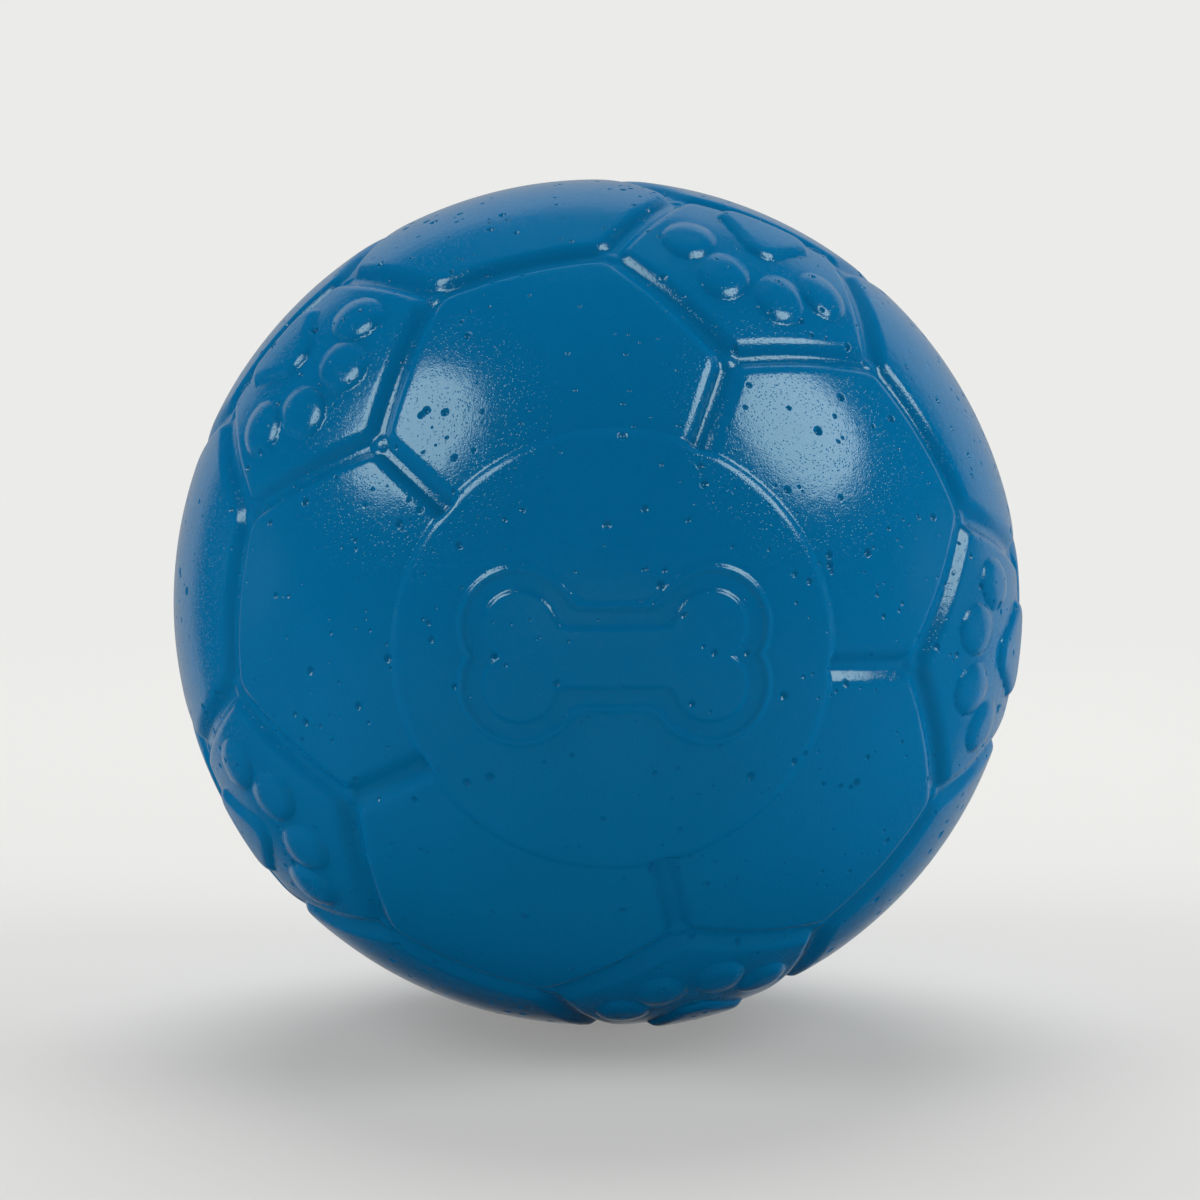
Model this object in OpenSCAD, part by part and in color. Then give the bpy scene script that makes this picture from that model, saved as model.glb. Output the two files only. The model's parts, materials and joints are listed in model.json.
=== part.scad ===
// Dog toy ball with the panel pattern of a football: a hollow moulded shell with raised panels.
// Twenty hexagons and ten paw print pentagons stand on the shell. A round panel takes the place of the
// front pentagon and another that of the rear one, where a push-in plug closes the vent.
// The origin is the ball's centre, +Z is up and the front round panel faces -Y.

/* [Ball] */
// Diameter over the hexagon panels
ball_d = 203; // [150:1:220]
// Thickness of the shell under the grooves
shell_wall = 4; // [3:0.5:6]
// Turn of the panel pattern about the front-to-back axis as the ball lies, in degrees
pattern_turn = -4.8; // [-36:0.1:36]

/* [Grooves] */
// Depth of the grooves between the panels
groove_depth = 2.1; // [1.2:0.1:3]
// Half width of a groove at its floor
groove_floor = 1; // [0.5:0.1:1.5]
// Half width of a groove at the top of its walls
groove_top = 4.4; // [3:0.1:6]

/* [Round panels] */
// Angle from the axis of a round panel to the foot of its edge, in degrees
round_angle = 29; // [25:0.5:31]
// Height of a round panel above the hexagons
round_rise = 0.9; // [0.5:0.1:1.5]
// Width of the slope round its edge
round_slope = 1.3; // [0.8:0.1:2.5]

/* [Bone relief] */
// Distance between the knob centres along the bone
bone_span = 42; // [30:1:46]
// Distance between the two knob centres at one end
bone_knob_gap = 13; // [10:0.5:16]
// Radius of a knob
bone_knob_r = 8; // [6:0.5:10]
// Height of the bar between the knobs
bone_bar = 13; // [8:0.5:16]
// Height of the bone above the round panel
bone_rise = 0.8; // [0.4:0.1:1.2]
// Gap between the bone and the ridge round it
ridge_gap = 4; // [3:0.5:6]
// Width of the ridge
ridge_w = 1.4; // [1:0.1:2]
// Height of the ridge above the round panel
ridge_rise = 0.6; // [0.3:0.1:1]

/* [Paw prints] */
// Height of the paw pads above their pentagon
pad_rise = 1.5; // [0.8:0.1:2]
// Place of an inner toe from the pentagon's centre, across and towards the round panel
inner_toe = [7, 10.1]; // [4:0.1:14]
// Place of an outer toe, across and towards the round panel
outer_toe = [16.8, -0.7]; // [-4:0.1:20]
// Half width and half length of a toe
toe_half = [6.4, 9.1]; // [4:0.1:10]
// Outward lean of an outer toe, in degrees
outer_toe_lean = 8; // [0:1:20]
// Place of the main pad's tip lobe, across and towards the round panel
tip_lobe = [0, -9.6]; // [-14:0.1:2]
// Place of the main pad's right-hand lobe, across and towards the round panel
side_lobe = [6.2, -18.4]; // [-22:0.1:10]
// Half width and half length of a lobe
lobe_half = [7, 7]; // [5:0.1:9]

/* [Vent plug] */
// Diameter of the vent bore
vent_d = 8; // [6:0.5:10]
// Diameter of the plug's head
head_d = 16; // [13:0.5:20]
// Thickness of the plug's head
head_t = 2; // [1.5:0.1:2.4]
// Clearance round the stem in the bore
stem_fit = 0.05; // [0.02:0.01:0.1]
// Clearance round the head in its counterbore
head_fit = 0.3; // [0.2:0.05:0.5]
// Reach of the stem past the inside of the shell
stem_reach = 3; // [2.5:0.5:6]
// Length of the stem's tapered tip
tip_l = 2; // [1:0.5:2.5]
// Width of the tip's end as a share of the stem's diameter
tip_share = 0.7; // [0.5:0.05:0.95]

/* [Hidden] */
$fn = 240;
BLUE = "#0B6396";
PLUG_BLUE = "#0A5A8A";
HALVES = ["front", "rear"];
FIVE = [1 : 5];
RINGS = ["_inner_hexagon_", "_outer_hexagon_", "_paw_panel_"];

// The ball's radii, from the hexagon tops to the cavity
ball_r = ball_d / 2;
floor_r = ball_r - groove_depth;
cavity_r = floor_r - shell_wall;
round_r = ball_r + round_rise;

// Angles of a truncated icosahedron, seen from its centre
pent_side = atan(0.5 / tan(36) / (sqrt((125 + 41 * sqrt(5)) / 10) / 2));
hex_side = atan(sqrt(3) / 2 / (sqrt(3) / 4 * (3 + sqrt(5))));
paw_polar = atan(2);
inner_polar = pent_side + hex_side;
outer_polar = inner_polar + 2 * hex_side;
ring_step = 72;
// Bearing of the axis about which half a turn brings the front half of the pattern to the rear
half_turn_at = ring_step / 4;
// A length that reaches past the ball from its centre
beyond = ball_r + 20;

// A point in a section through a panel's axis: so far out along a groove's centre, so far in from it
function in_section(side, r, inward) =
    [r * sin(side) - inward * cos(side), 0, r * cos(side) + inward * sin(side)];

// Radius of a dome that spreads half_size over the ball and rises pad_rise above it
function dome_r(half_size) =
    let (drop = pad_rise + half_size ^ 2 / ball_d) (half_size ^ 2 + drop ^ 2) / (2 * drop);

// Turns the pattern, made about +Z with the front at the top, to the ball as it lies
module as_it_lies(half) {
    rotate([90, 0, 0]) rotate([0, 0, pattern_turn])
        if (half == "front") children();
        else rotate([0, 0, half_turn_at]) rotate([180, 0, 0]) rotate([0, 0, -half_turn_at]) children();
}

// The panel's side of one groove wall, as a cone about the axis square to the groove's great circle
module groove_side(side, turn) {
    rise = groove_depth / (groove_top - groove_floor);
    foot_r = floor_r - groove_floor * rise;
    rotate([0, side - 90, turn]) cylinder(h = ball_r, r1 = foot_r, r2 = foot_r + ball_r * rise);
}

// The space of a panel between its groove walls, with the panel's centre at +Z
module panel_space(side, turns) {
    intersection_for (turn = turns) groove_side(side, turn);
}

// The cone from the ball's centre through the foot of a round panel's edge
module round_cone() {
    cylinder(h = beyond, r1 = 0, r2 = beyond * tan(round_angle));
}

// One hexagon of a ring of five that lies between the paw panels
module hexagon(polar, i) {
    difference() {
        intersection() {
            rotate([0, polar, ring_step * (i + 0.5)]) panel_space(hex_side, [0 : 60 : 300]);
            sphere(ball_r);
        }
        sphere(floor_r);
    }
}

module inner_hexagon(i) {
    color(BLUE) difference() {
        hexagon(inner_polar, i);
        round_cone();
    }
}

module outer_hexagon(i) {
    color(BLUE) hexagon(outer_polar, i);
}

// One domed paw pad at a place across and towards the round panel, with its length leaning from that line
module paw_pad(place, half, lean = 0) {
    across_r = dome_r(half.x);
    along_r = dome_r(half.y);
    bearing = atan2(place.x, -place.y);
    rotate([0, 0, bearing]) rotate([0, norm(place) / ball_r * 180 / PI, 0])
        translate([0, 0, ball_r + pad_rise - across_r]) rotate([0, 0, lean - bearing]) rotate([0, 90, 0])
            rotate_extrude() intersection() {
                translate([across_r - along_r, 0]) circle(along_r);
                translate([0, -along_r]) square([across_r, 2 * along_r]);
            }
}

module paw_print() {
    for (hand = [-1, 1]) {
        paw_pad([hand * inner_toe.x, inner_toe.y], toe_half);
        paw_pad([hand * outer_toe.x, outer_toe.y], toe_half, -hand * outer_toe_lean);
        paw_pad([hand * side_lobe.x, side_lobe.y], lobe_half);
    }
    paw_pad(tip_lobe, lobe_half);
}

module paw_panel(i) {
    color(BLUE) difference() {
        rotate([0, paw_polar, ring_step * i]) {
            intersection() {
                panel_space(pent_side, [0 : 72 : 288]);
                sphere(ball_r);
            }
            paw_print();
        }
        sphere(floor_r);
    }
}

// A round panel without its relief or vent, with its axis at +Z
module round_blank() {
    foot = in_section(round_angle, ball_r, 0);
    edge = in_section(round_angle, round_r, round_slope);
    taper = (foot.x - edge.x) / (edge.z - foot.z);
    intersection() {
        sphere(round_r);
        round_cone();
        union() {
            cylinder(h = foot.z, r = beyond);
            translate([0, 0, foot.z])
                cylinder(h = beyond - foot.z, r1 = foot.x, r2 = foot.x - taper * (beyond - foot.z));
        }
    }
}

// A bone outline grown by some width, as a block through the round panel
module bone(grow) {
    z = floor_r * cos(round_angle);
    for (x = [-1, 1], y = [-1, 1])
        translate([x * bone_span / 2, y * bone_knob_gap / 2, z])
            cylinder(h = beyond - z, r = bone_knob_r + grow);
    translate([-bone_span / 2, -bone_bar / 2 - grow, z])
        cube([bone_span, bone_bar + 2 * grow, beyond - z]);
}

module front_round_panel() {
    color(BLUE) difference() {
        union() {
            round_blank();
            rotate([0, 0, -pattern_turn]) {
                intersection() {
                    sphere(round_r + bone_rise);
                    bone(0);
                }
                intersection() {
                    sphere(round_r + ridge_rise);
                    difference() {
                        bone(ridge_gap + ridge_w);
                        bone(ridge_gap);
                    }
                }
            }
        }
        sphere(floor_r);
    }
}

module rear_round_panel() {
    color(BLUE) difference() {
        round_blank();
        sphere(floor_r);
        cylinder(h = beyond, d = vent_d);
        translate([0, 0, round_r - head_t]) cylinder(h = beyond, d = head_d + 2 * head_fit);
    }
}

module shell() {
    color(BLUE) as_it_lies("front") difference() {
        sphere(floor_r);
        sphere(cavity_r);
        translate([0, 0, -beyond]) cylinder(h = beyond, d = vent_d);
    }
}

module vent_plug() {
    stem_r = vent_d / 2 - stem_fit;
    seat = round_r - head_t + stem_fit;
    tip = cavity_r - stem_reach;
    color(PLUG_BLUE) {
        intersection() {
            translate([0, 0, seat]) cylinder(h = beyond - seat, d = head_d);
            sphere(round_r);
        }
        translate([0, 0, tip + tip_l]) cylinder(h = seat - tip - tip_l + stem_fit, r = stem_r);
        translate([0, 0, tip]) cylinder(h = tip_l, r1 = stem_r * tip_share, r2 = stem_r);
    }
}

shell();
as_it_lies("front") front_round_panel();
as_it_lies("rear") rear_round_panel();
as_it_lies("rear") vent_plug();
for (half = HALVES, i = FIVE) {
    as_it_lies(half) inner_hexagon(i);
    as_it_lies(half) outer_hexagon(i);
    as_it_lies(half) paw_panel(i);
}
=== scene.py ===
"""Dresses the dog toy ball, a hollow moulding of one colour with the panel pattern of a football.

The skin of the ball is sculpted as one relief over the sphere, so that grooves, paw pads and round panels
run into each other as they do in a mould. It is then divided at the groove floors into one piece for each
panel of the frame. Sculpting sizes are in millimetres, and meshes are written in metres.
"""

import json
import logging
import math
from collections.abc import Callable
from dataclasses import dataclass, field, fields
from enum import Enum

import bpy
import numpy as np
from mathutils import Matrix, Vector


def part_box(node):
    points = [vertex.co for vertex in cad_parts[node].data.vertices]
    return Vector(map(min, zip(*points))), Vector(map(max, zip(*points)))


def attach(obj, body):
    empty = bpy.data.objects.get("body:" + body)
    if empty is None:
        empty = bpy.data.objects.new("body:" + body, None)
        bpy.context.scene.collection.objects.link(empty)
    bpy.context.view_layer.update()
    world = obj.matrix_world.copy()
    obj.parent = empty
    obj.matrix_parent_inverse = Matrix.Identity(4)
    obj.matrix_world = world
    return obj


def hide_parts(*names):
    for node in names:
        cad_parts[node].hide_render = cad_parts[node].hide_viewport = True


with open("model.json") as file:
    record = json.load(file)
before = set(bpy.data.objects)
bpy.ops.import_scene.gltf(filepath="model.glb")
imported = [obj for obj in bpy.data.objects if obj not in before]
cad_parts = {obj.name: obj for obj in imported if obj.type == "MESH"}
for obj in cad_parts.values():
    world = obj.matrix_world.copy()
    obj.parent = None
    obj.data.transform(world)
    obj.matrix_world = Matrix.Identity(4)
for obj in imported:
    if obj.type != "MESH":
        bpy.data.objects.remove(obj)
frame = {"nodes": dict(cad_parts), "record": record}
log = logging.getLogger("dog_ball")

MM = 0.001
BALL_BODY = "ball"
PLUG_BODY = "vent_plug"
# Small enough to count as nothing
TINY = 1e-6
# A step to the next panel of a ring or side of a pentagon, and to the next side of a hexagon, in degrees
FIFTH = 72.0
SIXTH = 60.0
# Bearings of the corners that are left on a hexagon cut short by a round panel
CUT_HEXAGON_CORNERS = (270.0, 330.0, 30.0, 90.0)
# Most values of a noise node lie between these
NOISE_SPAN = (0.25, 0.75)
# Sockets of a mix node for colours, where names repeat
MIX_A = 6
MIX_B = 7
MIX_RESULT = 2
Array = np.ndarray
Profile = list[tuple[float, float]]


class Half(Enum):
    """The two halves of the ball, each about its own round panel."""

    FRONT = "front"
    REAR = "rear"


class PanelKind(Enum):
    """The kinds of panel, with the part of a node's name that tells them apart."""

    INNER_HEXAGON = "inner_hexagon"
    OUTER_HEXAGON = "outer_hexagon"
    PAW_PANEL = "paw_panel"
    ROUND_PANEL = "round_panel"

    @property
    def slot(self) -> str:
        """The record's material slot of this kind of panel."""
        return {"paw_panel": "paw_panels", "round_panel": "round_panels"}.get(self.value, "hexagon_panels")


def ease(t: Array) -> Array:
    """Runs from 0 to 1 as t does, level at both ends."""
    t = np.clip(t, 0.0, 1.0)
    return t * t * (3.0 - 2.0 * t)


def wall(x: Array, foot: float, steepest: float, top: float) -> Array:
    """A moulded wall from 0 at its foot to 1 at its top, with no sudden bend.

    Args:
        x: Places across the wall.
        foot: Where it starts to rise.
        steepest: Where its hollow foot turns into its round top.
        top: Where it ends.

    Returns:
        The share of full height at each place.
    """
    hollow = np.clip((x - foot) / (steepest - foot), 0.0, 1.0)
    crown = np.clip((x - steepest) / (top - steepest), 0.0, 1.0)
    lower = (steepest - foot) * (hollow - np.sin(math.pi * hollow) / math.pi)
    upper = (top - steepest) * (crown + np.sin(math.pi * crown) / math.pi)
    return (lower + upper) / (top - foot)


def soft_max(a: Array, b: Array, width: float) -> Array:
    """The larger of two heights, with the corner between them filled over a width."""
    gap = np.maximum(width - np.abs(a - b), 0.0)
    return np.maximum(a, b) + gap * gap / (4.0 * width)


def unit(v: Array) -> Array:
    """Vectors at length 1."""
    return v / np.linalg.norm(v, axis=-1, keepdims=True)


def chord(cosine: Array) -> Array:
    """Distance between unit directions, from the cosine of the angle between them."""
    return np.sqrt(2.0 - 2.0 * np.clip(cosine, -1.0, 1.0))


def turned(axis: str, degrees: float) -> Array:
    """The matrix of a turn about a main axis."""
    return np.array(Matrix.Rotation(math.radians(degrees), 3, axis))


def direction(bearing: float, angle: float) -> Array:
    """Works out the direction at a bearing and an angle.

    Args:
        bearing: Degrees about +Z.
        angle: Degrees from +Z.

    Returns:
        The unit direction.
    """
    a = math.radians(angle)
    b = math.radians(bearing)
    return np.array([math.sin(a) * math.cos(b), math.sin(a) * math.sin(b), math.cos(a)])


def linear(hex_colour: str) -> tuple[float, float, float, float]:
    """Turns an sRGB hex colour to linear values with full alpha.

    Args:
        hex_colour: Six hex digits, with or without a leading #.

    Returns:
        Red, green, blue and alpha for a shader socket.
    """
    digits = hex_colour.lstrip("#")
    values = [int(digits[i : i + 2], 16) / 255.0 for i in (0, 2, 4)]
    # The curve and its numbers are the sRGB standard's
    red, green, blue = (v / 12.92 if v <= 0.04045 else ((v + 0.055) / 1.055) ** 2.4 for v in values)
    return red, green, blue, 1.0


def empty_tree(owner: bpy.types.Material | bpy.types.World) -> bpy.types.NodeTree:
    """Gives a material or a world a node tree with nothing in it yet."""
    owner.use_nodes = True
    owner.node_tree.nodes.clear()
    return owner.node_tree


def add_node(
    tree: bpy.types.NodeTree, kind: str, inputs: dict | tuple = (), output: str | int = 0, **settings: str
) -> bpy.types.NodeSocket | None:
    """Adds one shader node with its settings and links.

    Args:
        tree: The node tree that takes the node.
        kind: The node's type name.
        inputs: Values, or output sockets to link, by input name or number, or in turn from the first input.
        output: Name or number of the output that is wanted.
        settings: Values of the node's own properties.

    Returns:
        The wanted output, or None for a node without outputs.
    """
    node = tree.nodes.new(kind)
    for name, value in settings.items():
        setattr(node, name, value)
    for name, value in inputs.items() if isinstance(inputs, dict) else enumerate(inputs):
        if isinstance(value, bpy.types.NodeSocket):
            tree.links.new(value, node.inputs[name])
        else:
            node.inputs[name].default_value = value
    return node.outputs[output] if node.outputs else None


@dataclass(frozen=True)
class Grain:
    """An uneven pattern in a finish: its size and depth in millimetres, and the finer layers in it."""

    size_mm: float
    depth_mm: float = 0.0
    layers: float = 2.0
    layer_share: float = 0.5

    def noise(self, place: bpy.types.NodeSocket) -> dict:
        """The inputs of the noise that draws the pattern."""
        scale = 1.0 / (self.size_mm * MM)
        return {"Vector": place, "Scale": scale, "Detail": self.layers, "Roughness": self.layer_share}


@dataclass(frozen=True)
class MouldedPolyethylene:
    """Soft polyethylene, rotationally moulded in one colour.

    The skin copies the blasted mould: a gloss that fine grain and specks of caught air break up, and a
    slow drift of colour where the powder melted unevenly. A little of the pigment tints the gloss.
    """

    name: str = "moulded_polyethylene_blue"
    colour: str = "#005884"
    drift_colour: str = "#00537E"
    gloss_tint: str = "#E0FFFC"
    ior: float = 1.54
    roughness: float = 0.12
    rough_spread: float = 0.025
    drift: Grain = Grain(30.0, layers=3.0)
    peel: Grain = Grain(2.2, 0.04, 1.0, 0.4)
    grain: Grain = Grain(0.45, 0.028, 1.5, 0.55)
    speck_gap_mm: float = 0.8
    speck_r_mm: float = 0.3
    speck_depth_mm: float = 0.04

    def material(self) -> bpy.types.Material:
        """Builds the finish as a node material, or returns it if it is there already."""
        made = bpy.data.materials.get(self.name)
        if made:
            return made
        made = bpy.data.materials.new(self.name)
        tree = empty_tree(made)
        place = add_node(tree, "ShaderNodeTexCoord", output="Object")
        drift, peel, grain = (
            add_node(tree, "ShaderNodeTexNoise", pattern.noise(place))
            for pattern in (self.drift, self.peel, self.grain)
        )
        colours = {"Factor": drift, MIX_A: linear(self.colour), MIX_B: linear(self.drift_colour)}
        skin = add_node(tree, "ShaderNodeMix", colours, MIX_RESULT, data_type="RGBA")
        spread = {"Vector": place, "Scale": 1.0 / (self.speck_gap_mm * MM)}
        cells = add_node(tree, "ShaderNodeTexVoronoi", spread)
        rim = self.speck_r_mm / self.speck_gap_mm
        speck = add_node(tree, "ShaderNodeMapRange", (cells, 0.0, rim), interpolation_type="SMOOTHSTEP")
        shape = {}
        for height, depth_mm in (
            (peel, self.peel.depth_mm),
            (speck, self.speck_depth_mm),
            (grain, self.grain.depth_mm),
        ):
            shape |= {"Strength": 1.0, "Distance": depth_mm * MM, "Height": height}
            shape = {"Normal": add_node(tree, "ShaderNodeBump", shape)}
        dullest = self.roughness + self.rough_spread
        glossiest = self.roughness - self.rough_spread
        rough = add_node(tree, "ShaderNodeMapRange", (peel, *NOISE_SPAN, glossiest, dullest))
        tint = linear(self.gloss_tint)
        surface = {"Base Color": skin, "Roughness": rough, "IOR": self.ior, "Specular Tint": tint}
        shader = add_node(tree, "ShaderNodeBsdfPrincipled", surface | shape)
        add_node(tree, "ShaderNodeOutputMaterial", {"Surface": shader})
        return made


@dataclass(frozen=True)
class InjectionMouldedPolyethylene(MouldedPolyethylene):
    """Polyethylene pressed into a cut steel mould, which gives a darker satin skin with no caught air."""

    name: str = "injection_moulded_polyethylene_blue"
    colour: str = "#00507A"
    drift_colour: str = "#004E76"
    roughness: float = 0.3
    peel: Grain = Grain(2.2, 0.01, 1.0, 0.4)
    grain: Grain = Grain(0.45, 0.012, 1.5, 0.55)
    speck_depth_mm: float = 0.0


@dataclass(frozen=True)
class StudioPaper:
    """Matt white studio paper, which gives a pale even ground and a soft shadow."""

    name: str = "studio_paper_pale"
    colour: str = "#ACACAA"
    far_colour: str = "#EBEBE9"
    roughness: float = 0.7
    fibre: Grain = Grain(1.5, 0.1)
    fibre_strength: float = 0.05
    shadow_reach: float = 0.2
    pale_from: float = 0.9
    least_pale: float = 0.3

    def material(self) -> bpy.types.Material:
        """Builds the finish as a node material."""
        made = bpy.data.materials.new(self.name)
        tree = empty_tree(made)
        place = add_node(tree, "ShaderNodeTexCoord", output="Object")
        fibre = add_node(tree, "ShaderNodeTexNoise", self.fibre.noise(place))
        shape = {"Strength": self.fibre_strength, "Distance": self.fibre.depth_mm * MM, "Height": fibre}
        normal = add_node(tree, "ShaderNodeBump", shape)
        seen = add_node(tree, "ShaderNodeLightPath", output="Is Camera Ray")
        colours = {"Factor": seen, MIX_A: linear(self.far_colour), MIX_B: linear(self.colour)}
        colour = add_node(tree, "ShaderNodeMix", colours, MIX_RESULT, data_type="RGBA")
        surface = {"Base Color": colour, "Roughness": self.roughness, "Normal": normal}
        matt = add_node(tree, "ShaderNodeBsdfPrincipled", surface)
        pale = add_node(tree, "ShaderNodeEmission", {"Color": linear(self.far_colour), "Strength": 1.0})
        reach = add_node(tree, "ShaderNodeVectorMath", (place,), "Value", operation="LENGTH")
        fade = (reach, self.shadow_reach, self.pale_from, self.least_pale)
        far = add_node(tree, "ShaderNodeMapRange", fade, interpolation_type="SMOOTHSTEP")
        share = add_node(tree, "ShaderNodeMath", (far, seen), operation="MULTIPLY")
        paper = add_node(tree, "ShaderNodeMixShader", (share, matt, pale))
        add_node(tree, "ShaderNodeOutputMaterial", {"Surface": paper})
        return made


@dataclass(frozen=True)
class Groove:
    """The moulded groove between two panels, in millimetres."""

    depth: float
    floor_half: float = 0.1
    steepest: float = 1.8
    top_half: float = 5.6
    knot_rise: float = 0.6
    knot_r: float = 3.0
    across_spacing: float = 0.6
    along_spacing: float = 2.2
    growth: float = 0.35

    def fill(self, distance: Array) -> Array:
        """How far the skin has risen at a distance from the centre line, from 0 on the floor to 1."""
        return wall(distance, self.floor_half, self.steepest, self.top_half)

    def knot(self, distance: Array) -> Array:
        """How far the floor rises at a distance from the place where three grooves meet."""
        return self.knot_rise * np.maximum(1.0 - (distance / self.knot_r) ** 2, 0.0) ** 2

    def detail(self, distance: Array, across: Array) -> Array:
        """The mesh spacing that the groove's walls need.

        Args:
            distance: Distance from the centre line.
            across: The share of an edge's length that runs across the groove.

        Returns:
            The longest edge allowed.
        """
        beyond = self.growth * np.maximum(distance - self.top_half, 0.0)
        along = np.sqrt(np.maximum(1.0 - across**2, 0.0))
        across_need = across / (self.across_spacing + beyond)
        along_need = along / (self.along_spacing + beyond)
        return 1.0 / np.hypot(across_need, along_need)


@dataclass(frozen=True)
class PawPrint:
    """The raised paw print of a pentagon: four toes and a main pad, in millimetres.

    Places are from the pentagon's centre, across the print and along it towards the round panel.
    """

    rise: float = 1.45
    # Powers of the profiles: a fuller one is flatter on top and steeper at its edge
    near_fullness: float = 5.0
    far_fullness: float = 2.2
    pad_fullness: float = 3.2
    inner_toe: tuple[float, float] = (7.0, 10.1)
    outer_toe: tuple[float, float] = (16.8, -0.7)
    toe_half: tuple[float, float] = (6.3, 9.1)
    outer_lean_deg: float = 8.0
    tip: tuple[float, float] = (0.0, -8.6)
    heel: tuple[float, float] = (6.4, -19.6)
    corner_r: float = 5.4
    pad_edge: float = 4.2
    foot_fill: float = 0.08
    # Mesh spacing on the print, and how it grows outside
    spacing: float = 1.0
    growth: float = 0.3
    detail_from: float = 4.0
    detail_reach: float = 27.0

    def toes(self, across: Array, along: Array) -> Array:
        """Shapes the four toes, each a dome that is steeper towards the round panel.

        Args:
            across: Places across the print.
            along: Places along it, towards the round panel.

        Returns:
            Heights above the pentagon.
        """
        height = np.zeros_like(across)
        for hand in (-1.0, 1.0):
            for place, lean in ((self.inner_toe, 0.0), (self.outer_toe, self.outer_lean_deg)):
                angle = math.radians(lean) * hand
                x = across - hand * place[0]
                y = along - place[1]
                side = x * math.cos(angle) - y * math.sin(angle)
                length = x * math.sin(angle) + y * math.cos(angle)
                share = np.hypot(side / self.toe_half[0], length / self.toe_half[1])
                near = (1.0 + length / self.toe_half[1] / np.maximum(share, TINY)) / 2.0
                fullness = self.far_fullness + (self.near_fullness - self.far_fullness) * near
                height = soft_max(height, self.rise * (1.0 - share**fullness), self.foot_fill)
        return height

    def main_pad(self, across: Array, along: Array) -> Array:
        """Shapes the main pad, a rounded triangle with its tip towards the toes.

        Args:
            across: Places across the print.
            along: Places along it, towards the round panel.

        Returns:
            Heights above the pentagon.
        """
        corners = np.array([self.tip, (self.heel[0], self.heel[1]), (-self.heel[0], self.heel[1])])
        point = np.stack([across, along], -1)
        nearest = np.full(across.shape, np.inf)
        inside = np.ones(across.shape, bool)
        for start, end in zip(corners, np.roll(corners, -1, axis=0)):
            side = end - start
            offset = point - start
            share = np.clip(offset @ side / (side @ side), 0.0, 1.0)
            nearest = np.minimum(nearest, np.linalg.norm(offset - share[..., None] * side, axis=-1))
            inside &= side[0] * offset[..., 1] - side[1] * offset[..., 0] < 0.0
        depth = self.corner_r + np.where(inside, nearest, -nearest)
        inward = np.clip(depth / self.pad_edge, -1.0, 1.0)
        dome = self.rise * (1.0 - (1.0 - inward) ** self.pad_fullness)
        return soft_max(np.zeros_like(across), dome, self.foot_fill)

    def height(self, across: Array, along: Array) -> Array:
        """Height of the whole print above its pentagon."""
        return soft_max(self.toes(across, along), self.main_pad(across, along), self.foot_fill)

    def detail(self, across: Array, along: Array) -> Array:
        """The mesh spacing that the print needs."""
        reach = np.hypot(across, along + self.detail_from)
        return self.spacing + self.growth * np.maximum(reach - self.detail_reach, 0.0)


@dataclass(frozen=True)
class BoneRelief:
    """A plain bone in relief with a ridge round it, in millimetres on the round panel."""

    span: float = 42.0
    knob_gap: float = 13.0
    knob_r: float = 8.0
    bar: float = 13.0
    rise: float = 0.8
    edge: float = 1.5
    ridge_gap: float = 4.0
    ridge_w: float = 1.4
    ridge_rise: float = 0.6
    inner_fill: float = 3.0
    spacing: float = 0.7
    growth: float = 0.4

    def outside(self, x: Array, z: Array) -> Array:
        """Measures how far places are outside the bone's outline.

        Args:
            x: Places along the bone.
            z: Places across it.

        Returns:
            The distances, negative within the outline.
        """
        x = np.abs(x)
        z = np.abs(z)
        knobs = np.hypot(x - self.span / 2.0, z - self.knob_gap / 2.0) - self.knob_r
        bar = np.maximum(x - self.span / 2.0, z - self.bar / 2.0)
        return -soft_max(-knobs, -bar, self.inner_fill)

    def height(self, x: Array, z: Array) -> Array:
        """Shapes the bone and its ridge.

        Args:
            x: Places along the bone.
            z: Places across it.

        Returns:
            Heights above the round panel.
        """
        away = self.outside(x, z)
        bone = self.rise * ease(0.5 - away / self.edge)
        ridge = np.abs(away - self.ridge_gap - self.ridge_w / 2.0) / self.ridge_w
        return bone + self.ridge_rise * ease(1.0 - ridge)

    def detail(self, x: Array, z: Array) -> Array:
        """The mesh spacing that the relief's edges need.

        Args:
            x: Places along the bone.
            z: Places across it.

        Returns:
            The longest edges allowed.
        """
        away = self.outside(x, z)
        edge = np.abs(away) - self.edge
        ridge = np.abs(away - self.ridge_gap - self.ridge_w / 2.0) - self.ridge_w
        return self.spacing + self.growth * np.maximum(np.minimum(edge, ridge), 0.0)


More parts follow.
